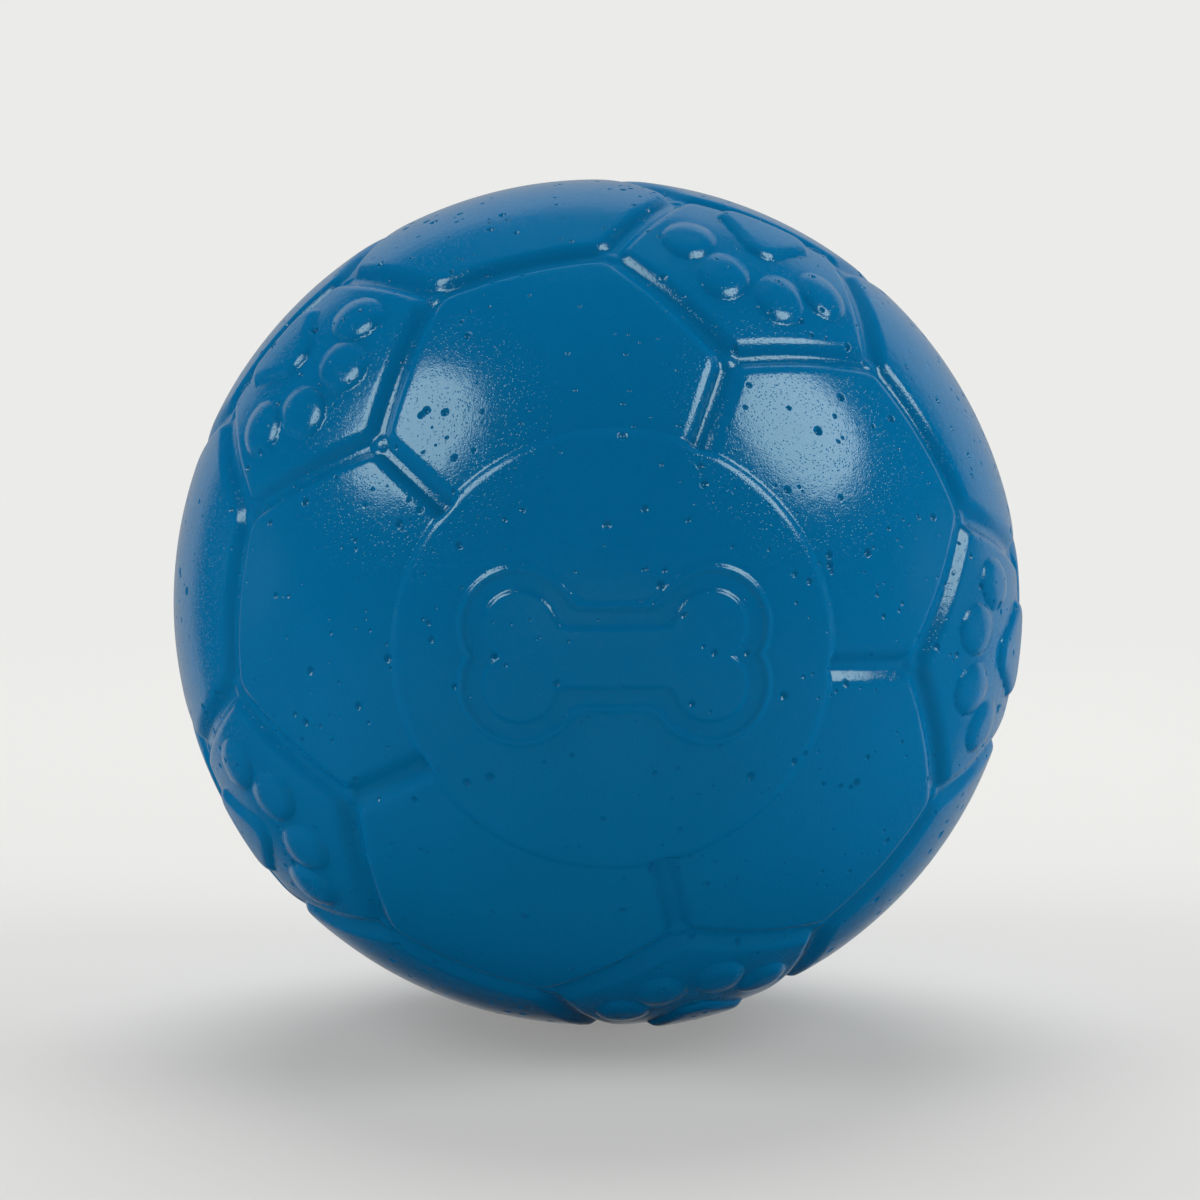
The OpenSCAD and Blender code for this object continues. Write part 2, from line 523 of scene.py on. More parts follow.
@dataclass
class Pinholes:
    """Air pinholes in the moulded skin, scattered evenly over the ball, in millimetres."""

    ball_r: float
    count: int = 1900
    usual_r: float = 0.52
    spread: float = 0.5
    least_r: float = 0.38
    most_r: float = 1.3
    depth_share: float = 0.6
    # Mesh spacing: a share of the radius or this at most, out to the rim, and how it grows from there
    mesh_share: float = 0.75
    mesh_most: float = 0.45
    mesh_rim: float = 1.1
    mesh_growth: float = 1.3
    mesh_reach: float = 6.0
    blocks: int = 24
    seed: int = 517
    places: Array = field(init=False)
    radii: Array = field(init=False)

    def __post_init__(self) -> None:
        """Scatters the pinholes."""
        chance = np.random.default_rng(self.seed)
        self.places = unit(chance.normal(size=(self.count, 3)))
        sizes = self.usual_r * np.exp(self.spread * chance.normal(size=self.count))
        self.radii = np.clip(sizes, self.least_r, self.most_r)

    def measure(self, directions: Array, start: float, reach: float, rule: Callable) -> Array:
        """Works out a value in each direction from the pinholes round it, block by block.

        Args:
            directions: Unit directions from the ball's centre.
            start: The value where no pinhole is in reach.
            reach: How far off a pinhole still matters.
            rule: A function of distances, with a row for each direction, and radii that gives the values.

        Returns:
            The values.
        """
        found = np.full(len(directions), start)
        row = self.blocks + 1
        cells = np.floor((directions + 1.0) * self.blocks / 2.0).astype(int) @ [1, row, row * row]
        order = np.argsort(cells, kind="stable")
        for rows in np.split(order, np.flatnonzero(np.diff(cells[order])) + 1):
            block = directions[rows]
            middle = unit(block.mean(0))
            spread = np.arccos(np.clip((block @ middle).min(), -1.0, 1.0))
            which = np.flatnonzero(self.places @ middle > math.cos(spread + reach / self.ball_r))
            if len(which):
                away = chord(block @ self.places[which].T) * self.ball_r
                found[rows] = rule(away, self.radii[which])
        return found

    def depth(self, directions: Array) -> Array:
        """Sinks the pinholes, which are bowls with a rounded rim.

        Args:
            directions: Unit directions from the ball's centre.

        Returns:
            Depths below the skin.
        """

        def bowl(away: Array, radii: Array) -> Array:
            """Finds the deepest bowl.

            Args:
                away: Distances, with a row for each place.
                radii: The pinholes' radii.

            Returns:
                The depth at each place.
            """
            share = np.maximum(1.0 - (away / radii) ** 2, 0.0) ** 2
            return (share * radii).max(1) * self.depth_share

        return self.measure(directions, 0.0, self.most_r, bowl)

    def detail(self, directions: Array) -> Array:
        """The mesh spacing that the pinholes need.

        Args:
            directions: Unit directions from the ball's centre.

        Returns:
            The longest edges allowed.
        """

        def spacing(away: Array, radii: Array) -> Array:
            """Finds the finest spacing.

            Args:
                away: Distances, with a row for each place.
                radii: The pinholes' radii.

            Returns:
                The spacing at each place.
            """
            outside = np.maximum(away - self.mesh_rim * radii, 0.0)
            finest = np.minimum(self.mesh_share * radii, self.mesh_most)
            return (finest + self.mesh_growth * outside).min(1)

        return self.measure(directions, np.inf, self.mesh_reach, spacing)


@dataclass(frozen=True)
class Ripple:
    """The slow unevenness of a moulded wall, as a sum of waves over the ball, in millimetres."""

    height: float = 0.05
    shortest: float = 16.0
    longest: float = 60.0
    waves: int = 28
    seed: int = 5

    def at(self, directions: Array, ball_r: float) -> Array:
        """Adds up the waves in each direction.

        Args:
            directions: Unit directions from the ball's centre.
            ball_r: The ball's radius.

        Returns:
            Heights over the ball's radius.
        """
        chance = np.random.default_rng(self.seed)
        lengths = np.exp(chance.uniform(math.log(self.shortest), math.log(self.longest), self.waves))
        paths = unit(chance.normal(size=(self.waves, 3))) * (2.0 * math.pi * ball_r / lengths)[:, None]
        starts = chance.uniform(0.0, 2.0 * math.pi, self.waves)
        total = np.zeros(len(directions))
        for path, start, length in zip(paths, starts, lengths):
            total += np.sin(directions @ path + start) * length / self.longest
        return self.height * total * math.sqrt(2.0 / self.waves)


@dataclass(frozen=True)
class Panel:
    """One panel's place: its axes are columns that run away from its round panel, across, and outward."""

    name: str
    kind: PanelKind
    half: Half
    axes: Array
    sides: tuple[float, ...]
    side_deg: float

    @property
    def outward(self) -> Array:
        """The direction of the panel's middle."""
        return self.axes[:, 2]

    @property
    def has_bone(self) -> bool:
        """Whether this is the front round panel."""
        return self.kind is PanelKind.ROUND_PANEL and self.half is Half.FRONT

    @property
    def has_vent(self) -> bool:
        """Whether this is the rear round panel."""
        return self.kind is PanelKind.ROUND_PANEL and self.half is Half.REAR

    @property
    def has_step(self) -> bool:
        """Whether the edge of a round panel runs along this panel."""
        return self.kind in (PanelKind.ROUND_PANEL, PanelKind.INNER_HEXAGON)

    def groove_distances(self, local: Array, ball_r: float) -> Array:
        """Distance of points in the panel's axes to the centre of each groove along its sides."""
        return np.arcsin(np.clip(local @ self.inward(), -1.0, 1.0)) * ball_r

    def inward(self) -> Array:
        """The way into the panel from each of its sides, as columns in the panel's axes."""
        angles = np.radians(self.sides)
        lean = math.radians(self.side_deg)
        flat = -math.cos(lean)
        rise = np.full(len(angles), math.sin(lean))
        return np.stack([flat * np.cos(angles), flat * np.sin(angles), rise])

    def corner(self, bearing: float, angle: float) -> Array:
        """The direction at a bearing and an angle from the panel's middle, in degrees."""
        return self.axes @ direction(bearing, angle)

    def corners(self) -> Array:
        """Directions of the corners where three grooves meet, in turn."""
        half_side = (FIFTH if self.kind is PanelKind.PAW_PANEL else SIXTH) / 2.0
        slant = math.tan(math.radians(self.side_deg)) / math.cos(math.radians(half_side))
        bearings = [side + half_side for side in self.sides]
        if self.kind is PanelKind.INNER_HEXAGON:
            bearings = CUT_HEXAGON_CORNERS
        return np.array([self.corner(b, math.degrees(math.atan(slant))) for b in bearings])


@dataclass(frozen=True)
class FootballPattern:
    """The panel pattern of a truncated icosahedron about the front-to-back axis, as the ball lies."""

    turn_deg: float = -4.8
    half_turn_deg: float = 18.0
    pent_side: float = math.degrees(
        math.atan(0.5 / math.tan(math.radians(36)) / (math.sqrt((125 + 41 * math.sqrt(5)) / 10) / 2))
    )
    hex_side: float = math.degrees(math.atan(2.0 / (3.0 + math.sqrt(5))))

    def half_axes(self, half: Half) -> Array:
        """Turns the pattern, made with its round panel at the top, to the ball as it lies.

        Args:
            half: The half of the ball.

        Returns:
            The turn as a matrix.
        """
        lying = turned("X", 90) @ turned("Z", self.turn_deg)
        if half is Half.FRONT:
            return lying
        return lying @ turned("Z", self.half_turn_deg) @ turned("X", 180) @ turned("Z", -self.half_turn_deg)

    def panels(self) -> list[Panel]:
        """Lists every panel of the ball."""
        inner = self.pent_side + self.hex_side
        outer = inner + 2.0 * self.hex_side
        paw = math.degrees(math.atan(2.0))
        rings = (
            (PanelKind.INNER_HEXAGON, inner, FIFTH / 2.0, (0.0, 60.0, 120.0, 240.0, 300.0), self.hex_side),
            (PanelKind.OUTER_HEXAGON, outer, FIFTH / 2.0, tuple(range(0, 360, 60)), self.hex_side),
            (PanelKind.PAW_PANEL, paw, 0.0, tuple(range(0, 360, 72)), self.pent_side),
        )
        found = []
        for half in Half:
            axes = self.half_axes(half)
            name = f"{half.value}_{PanelKind.ROUND_PANEL.value}"
            found.append(Panel(name, PanelKind.ROUND_PANEL, half, axes, (), 0.0))
            for kind, polar, first, sides, side_deg in rings:
                for i in range(1, 6):
                    place = axes @ turned("Z", first + FIFTH * i) @ turned("Y", polar)
                    name = f"{half.value}_{kind.value}_{i}"
                    found.append(Panel(name, kind, half, place, sides, side_deg))
        return found


@dataclass
class SkinMesh:
    """A triangle mesh of unit directions that is split until it is as fine as the relief needs."""

    points: list = field(default_factory=list)
    rings: list = field(default_factory=list)
    triangles: list = field(default_factory=list)
    owners: list = field(default_factory=list)
    ring_axes: list = field(default_factory=list)
    ring_angles: list = field(default_factory=list)

    def point(self, place: Array, ring: int = -1) -> int:
        """Looks up a point, or adds it if it is new.

        Args:
            place: The place on the unit sphere.
            ring: The circle that the point keeps to, or -1.

        Returns:
            The point's number.
        """
        for i, known in enumerate(self.points):
            if np.linalg.norm(known - place) < TINY:
                self.rings[i] = max(self.rings[i], ring)
                return i
        self.points.append(place)
        self.rings.append(ring)
        return len(self.points) - 1

    def ring(self, axis: Array, angle: float) -> int:
        """Adds a circle that later points keep to.

        Args:
            axis: The circle's axis.
            angle: Its angle from the axis, in radians.

        Returns:
            The circle's number.
        """
        self.ring_axes.append(axis)
        self.ring_angles.append(angle)
        return len(self.ring_axes) - 1

    def triangle(self, owner: int, corners: tuple[int, int, int]) -> None:
        """Adds a triangle of a panel, turned to face outward.

        Args:
            owner: The panel's number.
            corners: Point numbers.
        """
        a, b, c = (self.points[i] for i in corners)
        facing = np.dot(np.cross(b - a, c - a), a) > 0
        self.triangles.append(corners if facing else corners[::-1])
        self.owners.append(owner)

    def fan(self, owner: int, middle: Array, edge: list[int]) -> None:
        """Adds the triangles of a panel from its middle to each step of its edge.

        Args:
            owner: The panel's number.
            middle: The direction where all the triangles meet.
            edge: Point numbers along the panel's edge, in turn.
        """
        centre = self.point(middle)
        for a, b in zip(edge, edge[1:] + edge[:1]):
            self.triangle(owner, (centre, a, b))

    def settle(self) -> None:
        """Turns the lists into arrays, ready to be split."""
        for kept in fields(self):
            setattr(self, kept.name, np.array(getattr(self, kept.name)))

    def middles(self, ends: Array) -> tuple[Array, Array]:
        """Finds the middles of edges, which stay on a circle that both ends are on.

        Args:
            ends: Pairs of point numbers.

        Returns:
            The middles, and the numbers of their circles or -1.
        """
        middle = unit(self.points[ends[:, 0]] + self.points[ends[:, 1]])
        ring = np.where(self.rings[ends[:, 0]] == self.rings[ends[:, 1]], self.rings[ends[:, 0]], -1)
        kept = np.flatnonzero(ring >= 0)
        axis = self.ring_axes[ring[kept]]
        angle = self.ring_angles[ring[kept]][:, None]
        out = unit(middle[kept] - axis * np.sum(middle[kept] * axis, 1, keepdims=True))
        middle[kept] = axis * np.cos(angle) + out * np.sin(angle)
        return middle, ring

    def split(self, wanted: Callable, ball_r: float) -> bool:
        """Splits each edge that is longer than wanted, and the triangles on it.

        Args:
            wanted: A function of edge middles, edge directions and panel numbers that gives the longest
                edge allowed there.
            ball_r: The radius that turns directions to lengths.

        Returns:
            Whether anything was split.
        """
        sides = np.sort(self.triangles[:, [[0, 1], [1, 2], [2, 0]]], axis=-1)
        keys = (sides[..., 0] * len(self.points) + sides[..., 1]).reshape(-1)
        keys, first, edge = np.unique(keys, return_index=True, return_inverse=True)
        ends = np.stack(np.divmod(keys, len(self.points)), 1)
        edge = edge.reshape(-1, 3)
        along = self.points[ends[:, 1]] - self.points[ends[:, 0]]
        middle, ring = self.middles(ends)
        allowed = wanted(middle, unit(along), self.owners[first // 3])
        length = np.linalg.norm(along, axis=1) * ball_r / allowed
        cut = length > 1.0
        longest = np.argmax(length[edge], axis=1)
        rows = np.arange(len(edge))
        while True:
            short = cut[edge].any(1) & ~cut[edge[rows, longest]]
            if not short.any():
                break
            cut[edge[rows, longest][short]] = True
        if not cut.any():
            return False
        number = np.full(len(ends), -1)
        number[cut] = len(self.points) + np.arange(cut.sum())
        self.points = np.concatenate([self.points, middle[cut]])
        self.rings = np.concatenate([self.rings, ring[cut]])
        turn = (longest[:, None] + np.arange(3)) % 3
        a, b, c = np.take_along_axis(self.triangles, turn, 1).T
        ab, bc, ca = np.take_along_axis(number[edge], turn, 1).T
        pieces = []
        for has_bc in (False, True):
            for has_ca in (False, True):
                pick = (ab >= 0) & ((bc >= 0) == has_bc) & ((ca >= 0) == has_ca)
                near_a = [(a, ab, ca), (ca, ab, c)] if has_ca else [(a, ab, c)]
                near_b = [(ab, b, bc), (ab, bc, c)] if has_bc else [(ab, b, c)]
                for corners in near_a + near_b:
                    pieces.append((np.stack(corners, 1)[pick], self.owners[pick]))
        whole = ab < 0
        self.triangles = np.concatenate([self.triangles[whole]] + [t for t, _ in pieces])
        self.owners = np.concatenate([self.owners[whole]] + [o for _, o in pieces])
        return True


def mesh_piece(name: str, points: Array, faces: list, material: bpy.types.Material) -> bpy.types.Object:
    """Makes a mesh object with one material, smooth shaded.

    Args:
        name: The piece's name.
        points: Places in metres.
        faces: Lists of point numbers.
        material: The finish.

    Returns:
        The new object, linked to the scene.
    """
    mesh = bpy.data.meshes.new(name)
    mesh.from_pydata(points.tolist(), [], faces)
    mesh.materials.append(material)
    mesh.shade_smooth()
    piece = bpy.data.objects.new(name, mesh)
    bpy.context.scene.collection.objects.link(piece)
    return piece


def lathe(profile: Profile, sectors: int) -> tuple[Array, list]:
    """Turns a profile about the front-to-back axis.

    Args:
        profile: Points as a radius and a place along +Y, from the front end's middle to the rear end's.
        sectors: How many steps a turn has.

    Returns:
        Points, in the profile's units, and faces that look outward.
    """
    angles = np.arange(sectors) * 2.0 * math.pi / sectors
    points = []
    rows = []
    for r, y in profile:
        steps = angles if r > 0.0 else angles[:1]
        rows.append([len(points) + i % len(steps) for i in range(sectors)])
        points += [(r * math.cos(a), y, r * math.sin(a)) for a in steps]
    faces = []
    for front, rear in zip(rows, rows[1:]):
        for i in range(sectors):
            j = (i + 1) % sectors
            faces.append(list(dict.fromkeys([front[i], rear[i], rear[j], front[j]])))
    return np.array(points), faces


def drop(edges: Array, first: int, rows: int) -> tuple[list, Array]:
    """Makes the faces that run down from a loop of edges through rows of new points.

    Args:
        edges: Pairs of point numbers.
        first: Number of the first new point. Each row holds the loop's points in order of number.
        rows: How many rows there are.

    Returns:
        The faces, and the point numbers of the last row.
    """
    above, ends = np.unique(edges, return_inverse=True)
    a, b = ends.reshape(-1, 2).T
    faces = []
    for row in range(rows):
        below = first + row * len(above) + np.arange(len(above))
        faces += np.stack([above[a], below[a], below[b], above[b]], 1).tolist()
        above = below
    return faces, above


def bridge(outer: Array, inner: Array, bearings: Array) -> list:
    """Makes the faces between two rings of points about a panel's axis, which look inward.

    Args:
        outer: Point numbers of the wide ring.
        inner: Point numbers of the narrow ring.
        bearings: The bearing of every point about the axis.

    Returns:
        The faces.
    """
    last_outer = int(outer[np.argmax(bearings[outer])])
    last_inner = int(inner[np.argmax(bearings[inner])])
    both = np.concatenate([outer, inner])
    faces = []
    for k in np.argsort(bearings[both], kind="stable"):
        point = int(both[k])
        faces.append([last_outer, last_inner, point])
        if k < len(outer):
            last_outer = point
        else:
            last_inner = point
    return faces


def rounded_step(r: float, y: float, fillet: float, quarter: float, steps: int = 6) -> Profile:
    """Profile points of a quarter round.

    Args:
        r: Radius of the quarter round's centre.
        y: Place of its centre along the axis.
        fillet: Its own radius.
        quarter: The bearing where it starts, in degrees from outward towards +Y.
        steps: How many steps it has.

    Returns:
        The points, over 90 degrees backward from the start.
    """
    bearings = np.radians(quarter - np.linspace(0.0, 90.0, steps + 1))
    return [(r + fillet * math.cos(b), y + fillet * math.sin(b)) for b in bearings]


@dataclass
class VentSeat:
    """The counterbore and bore of the vent at the middle of the rear round panel, in millimetres."""

    bore_r: float = 4.0
    seat_r: float = 8.3
    seat_depth: float = 2.0
    mouth_fillet: float = 0.6
    corner: float = 0.2

    @property
    def mouth_r(self) -> float:
        """Radius of the mouth where it meets the round panel."""
        return self.seat_r + self.mouth_fillet

    def lining(self, panel_r: float, bottom: float) -> Profile:
        """Profile from below the mouth's edge down the counterbore and the bore.

        Args:
            panel_r: Radius of the round panel's outside from the ball's centre.
            bottom: Height of the underside.

        Returns:
            Points as radius and height.
        """
        edge = math.sqrt(panel_r**2 - self.mouth_r**2)
        floor = panel_r - self.seat_depth
        mouth = rounded_step(self.mouth_r, edge - self.mouth_fillet, self.mouth_fillet, 90.0)[1:]
        return [
            *((2.0 * self.mouth_r - r, y) for r, y in mouth),
            (self.seat_r, floor + self.corner),
            (self.seat_r - self.corner, floor),
            (self.bore_r + self.corner, floor),
            (self.bore_r, floor - self.corner),
            (self.bore_r, bottom),
        ]


@dataclass
class VentPlug:
    """The push-in plug that closes the vent: a flush head on a stem, in millimetres."""

    head_fillet: float = 0.5
    head_t: float = 1.85
    panel_r: float = 102.4
    stem_r: float = 3.95
    tip_l: float = 2.0
    tip_r: float = 2.9
    tip_fillet: float = 0.5
    dimple_r: float = 2.4
    dimple_edge: float = 0.6
    dimple_depth: float = 0.5
    # Shares of the dimple's radius and depth, from its middle out
    dimple_shape: tuple[tuple[float, float], ...] = ((0.0, 1.0), (0.6, 0.85), (1.0, 0.3))
    corner: float = 0.2
    crown_steps: int = 8
    sectors: int = 96
    sharp_deg: float = 40.0

    def build(self, finish: MouldedPolyethylene) -> bpy.types.Object:
        """Builds the plug in the place of its node.

        Args:
            finish: The plug's finish.

        Returns:
            The plug's object.
        """
        low, high = (np.array(v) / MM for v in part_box("vent_plug"))
        head_r = (high[0] - low[0]) / 2.0
        top = high[1]
        tip = low[1]
        seat = top - self.head_t
        f = self.head_fillet
        c = self.corner
        flat = np.linspace(self.dimple_r + self.dimple_edge, head_r - f, self.crown_steps)
        crown = [(r, top - r * r / (2.0 * self.panel_r)) for r in flat]
        profile = [
            *((out * self.dimple_r, top - down * self.dimple_depth) for out, down in self.dimple_shape),
            *crown,
            *rounded_step(head_r - f, crown[-1][1] - f, f, 90.0)[1:],
            (head_r, seat + c),
            (head_r - c, seat),
            (self.stem_r + c, seat),
            (self.stem_r, seat - c),
            (self.stem_r, tip + self.tip_l),
            *rounded_step(self.tip_r - self.tip_fillet, tip + self.tip_fillet, self.tip_fillet, 0.0),
            (0.0, tip),
        ]
        points, faces = lathe(profile[::-1], self.sectors)
        piece = mesh_piece("vent_plug_moulding", points * MM, faces, finish.material())
        piece.data.set_sharp_from_angle(angle=math.radians(self.sharp_deg))
        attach(piece, PLUG_BODY)
        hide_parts("vent_plug")
        return piece


@dataclass
class BallSkin:
    """The whole moulded skin, sculpted as one relief and divided into the panels, in millimetres."""

    ball_r: float
    floor_r: float
    pattern: FootballPattern = field(default_factory=FootballPattern)
    paw: PawPrint = field(default_factory=PawPrint)
    bone: BoneRelief = field(default_factory=BoneRelief)
    ripple: Ripple = field(default_factory=Ripple)
    seat: VentSeat = field(default_factory=VentSeat)
    floor_cover: float = 0.15
    round_rise: float = 0.9
    round_border_deg: float = 29.0
    step_top_deg: float = 27.5
    step_steepest_deg: float = 29.1
    step_foot_deg: float = 29.6
    step_spacing: float = 0.75
    open_spacing: float = 5.0
    # How far the hidden underside lies below the groove floors, and further at its middle or the bore
    under: float = 0.6
    under_middle: float = 0.5
    under_bore: float = 1.0
    # The step that normals are measured over, and the height where a direction counts as at the pole
    normal_step: float = 0.02
    pole_from: float = 0.9
    # Where the first triangles of a cut hexagon meet, the first points of a circle, and the most splits
    cut_middle_deg: float = 6.0
    ring_points: int = 20
    rounds: int = 14
    groove: Groove = field(init=False)
    pinholes: Pinholes = field(init=False)
    panels: list = field(init=False)

    def __post_init__(self) -> None:
        """Sets out the grooves, the pinholes and the panels."""
        self.groove = Groove(depth=self.ball_r - self.floor_r - self.floor_cover)
        self.pinholes = Pinholes(ball_r=self.ball_r)
        self.panels = self.pattern.panels()

    def stub_distance(self, local: Array) -> Array:
        """Measures how far points of a round panel are from the nearest groove that runs into its edge.

        Args:
            local: Unit directions in the panel's axes.

        Returns:
            The distances.
        """
        bearing = np.arctan2(local[:, 1], local[:, 0])
        fifth = 2.0 * math.pi / 5.0
        offset = bearing - fifth * np.round(bearing / fifth)
        return np.abs(offset) * np.hypot(local[:, 0], local[:, 1]) * self.ball_r

    def stub_detail(self, local: Array) -> Array:
        """The mesh spacing that a round panel needs where a groove runs into its edge.

        Args:
            local: Unit directions in the panel's axes.

        Returns:
            The longest edges allowed.
        """
        polar = np.arctan2(np.hypot(local[:, 0], local[:, 1]), local[:, 2])
        inward = math.radians(self.step_top_deg) - polar
        beyond = np.maximum(inward * self.ball_r, self.stub_distance(local) - self.groove.top_half)
        return self.step_spacing + self.groove.growth * np.maximum(beyond, 0.0)

    def polar(self, panel: Panel, directions: Array) -> Array:
        """Angle of directions from the axis of the panel's round panel, in degrees."""
        axis = self.pattern.half_axes(panel.half)[:, 2]
        return np.degrees(np.arccos(np.clip(directions @ axis, -1.0, 1.0)))

    def relief(self, panel: Panel, directions: Array) -> Array:
        """Height of the skin over the ball's radius on one panel.

        Args:
            panel: The panel.
            directions: Unit directions from the ball's centre.

        Returns:
            Heights in millimetres.
        """
        local = directions @ panel.axes
        if panel.kind is PanelKind.ROUND_PANEL:
            filled = self.groove.fill(self.stub_distance(local))
        else:
            filled = self.groove.fill(panel.groove_distances(local, self.ball_r)).prod(1)
        height = self.groove.depth * (filled - 1.0)
        if panel.kind is not PanelKind.ROUND_PANEL:
            near = chord((directions @ panel.corners().T).max(1)) * self.ball_r
            height = height + (1.0 - filled) * self.groove.knot(near)
        if panel.kind is PanelKind.PAW_PANEL:
            height = height + filled * self.paw.height(*self.on_print(local))
        if panel.has_step:
            polar = self.polar(panel, directions)
            onto = wall(-polar, -self.step_foot_deg, -self.step_steepest_deg, -self.step_top_deg)
            height = height + onto * (self.round_rise - height)
        if panel.has_bone:
            flat = directions * self.ball_r
            height = height + self.bone.height(flat[:, 0], flat[:, 2])
        return height + self.ripple.at(directions, self.ball_r) * filled - self.pinholes.depth(directions)

    def on_print(self, local: Array) -> tuple[Array, Array]:
        """Lays the points of a paw panel out flat.

        Args:
            local: Unit directions in the panel's axes.

        Returns:
            Places across the print and along it.
        """
        out = np.hypot(local[:, 0], local[:, 1])
        scale = np.arctan2(out, local[:, 2]) * self.ball_r / np.maximum(out, TINY)
        return local[:, 1] * scale, -local[:, 0] * scale

    def spacing(self, directions: Array, along: Array, owners: Array) -> Array:
        """The longest mesh edge allowed in each place.

        Args:
            directions: Unit directions of the edges' middles.
            along: Unit directions that the edges run in.
            owners: Numbers of the panels that the edges are on.

        Returns:
            Lengths in millimetres.
        """
        longest = np.full(len(directions), self.open_spacing)
        for number, panel in enumerate(self.panels):
            pick = np.flatnonzero(owners == number)
            if not len(pick):
                continue
            d = directions[pick]
            local = d @ panel.axes
            if panel.kind is PanelKind.ROUND_PANEL:
                need = self.stub_detail(local)
            else:
                near = panel.groove_distances(local, self.ball_r)
                across = np.abs(along[pick] @ panel.axes @ panel.inward())
                need = self.groove.detail(near, across).min(1)
            if panel.kind is PanelKind.PAW_PANEL:
                need = np.minimum(need, self.paw.detail(*self.on_print(local)))
            if panel.has_step:
                middle = (self.step_foot_deg + self.step_top_deg) / 2.0
                half = (self.step_foot_deg - self.step_top_deg) / 2.0
                away = np.maximum(np.abs(self.polar(panel, d) - middle) - half, 0.0)
                grown = self.groove.growth * math.radians(1.0) * self.ball_r * away
                need = np.minimum(need, self.step_spacing + grown)
            if panel.has_bone:
                need = np.minimum(need, self.bone.detail(d[:, 0] * self.ball_r, d[:, 2] * self.ball_r))
            need = np.minimum(need, self.pinholes.detail(d))
            longest[pick] = np.minimum(self.open_spacing, need)
        return longest

    def outline(self, mesh: SkinMesh) -> None:
        """Lays out each panel as a few triangles that end at the groove centres and the round edges.

        Args:
            mesh: The mesh that takes them.
        """
        border = {}
        for half in Half:
            axis = self.pattern.half_axes(half)[:, 2]
            border[half] = mesh.ring(axis, math.radians(self.round_border_deg))
        for number, panel in enumerate(self.panels):
            middle = panel.outward
            if panel.kind is PanelKind.ROUND_PANEL:
                edge = self.circle(mesh, panel, self.round_border_deg, border[panel.half])
            else:
                edge = [mesh.point(corner) for corner in panel.corners()]
            if panel.kind is PanelKind.INNER_HEXAGON:
                edge += self.round_arc(mesh, panel, border[panel.half])
                middle = panel.corner(0.0, self.cut_middle_deg)
            if panel.has_vent:
                self.ring_vent(mesh, number, edge)
            else:
                mesh.fan(number, middle, edge)

    @property
    def ring_step(self) -> float:
        """Degrees from one starting point of a circle to the next."""
        return 360.0 / self.ring_points

    def circle(self, mesh: SkinMesh, panel: Panel, angle: float, ring: int) -> list[int]:
        """Adds points round a panel's middle that keep to a circle.

        Args:
            mesh: The mesh of the whole skin.
            panel: The panel.
            angle: Degrees from its middle.
            ring: The circle's number.

        Returns:
            Point numbers, in turn.
        """
        bearings = (i * self.ring_step for i in range(self.ring_points))
        return [mesh.point(panel.corner(bearing, angle), ring) for bearing in bearings]

    def round_arc(self, mesh: SkinMesh, panel: Panel, ring: int) -> list[int]:
        """Adds the points of the round panel's edge along an inner hexagon.

        Args:
            mesh: The mesh of the whole skin.
            panel: The hexagon.
            ring: The circle of the round panel's edge.

        Returns:
            Point numbers, from the hexagon's 90 degree side to the other.
        """
        axes = self.pattern.half_axes(panel.half)
        across = panel.outward @ axes
        first = math.degrees(math.atan2(across[1], across[0])) + FIFTH / 2.0
        bearings = (first - i * self.ring_step for i in range(round(FIFTH / self.ring_step) + 1))
        return [mesh.point(axes @ direction(bearing, self.round_border_deg), ring) for bearing in bearings]

    def ring_vent(self, mesh: SkinMesh, number: int, edge: list[int]) -> None:
        """Fills the rear round panel with triangles from its edge to the vent's mouth.

        Args:
            mesh: The mesh of the whole skin.
            number: The panel's number.
            edge: Point numbers along its edge.
        """
        panel = self.panels[number]
        ring = mesh.ring(panel.outward, math.radians(self.mouth_deg()))
        mouth = self.circle(mesh, panel, self.mouth_deg(), ring)
        for i in range(self.ring_points):
            j = (i + 1) % self.ring_points
            mesh.triangle(number, (mouth[i], edge[i], edge[j]))
            mesh.triangle(number, (mouth[i], edge[j], mouth[j]))

    def mouth_deg(self) -> float:
        """Angle of the vent's mouth from the rear panel's axis."""
        return math.degrees(math.asin(self.seat.mouth_r / (self.ball_r + self.round_rise)))

    def surface(self, panel: Panel, directions: Array) -> tuple[Array, Array]:
        """Finds the places and normals of points of one panel.

        Args:
            panel: The panel.
            directions: Unit directions from the ball's centre.

        Returns:
            The places in millimetres, and the unit normals.
        """
        off_pole = np.abs(directions[:, 2:]) < self.pole_from
        side = unit(np.cross(directions, np.where(off_pole, [[0.0, 0.0, 1.0]], [[1.0, 0.0, 0.0]])))
        up = np.cross(directions, side)
        small = self.normal_step / self.ball_r

        def place(d: Array) -> Array:
            """The skin's place in a direction."""
            return d * (self.ball_r + self.relief(panel, d))[:, None]

        across = place(unit(directions + small * side)) - place(unit(directions - small * side))
        along = place(unit(directions + small * up)) - place(unit(directions - small * up))
        return place(directions), unit(np.cross(across, along))

    def closed(self, panel: Panel, places: Array, corners: Array) -> tuple[Array, list]:
        """Closes a panel's skin underneath, with the vent through the rear round panel.

        Args:
            panel: The panel.
            places: Places of the skin's points.
            corners: Point numbers of the skin's triangles.

        Returns:
            All points, the skin's first, and all faces.
        """
        sides = corners[:, [[0, 1], [1, 2], [2, 0]]].reshape(-1, 2)
        keys = sides @ [len(places), 1]
        rim = sides[~np.isin(sides[:, ::-1] @ [len(places), 1], keys)]
        local = places @ panel.axes
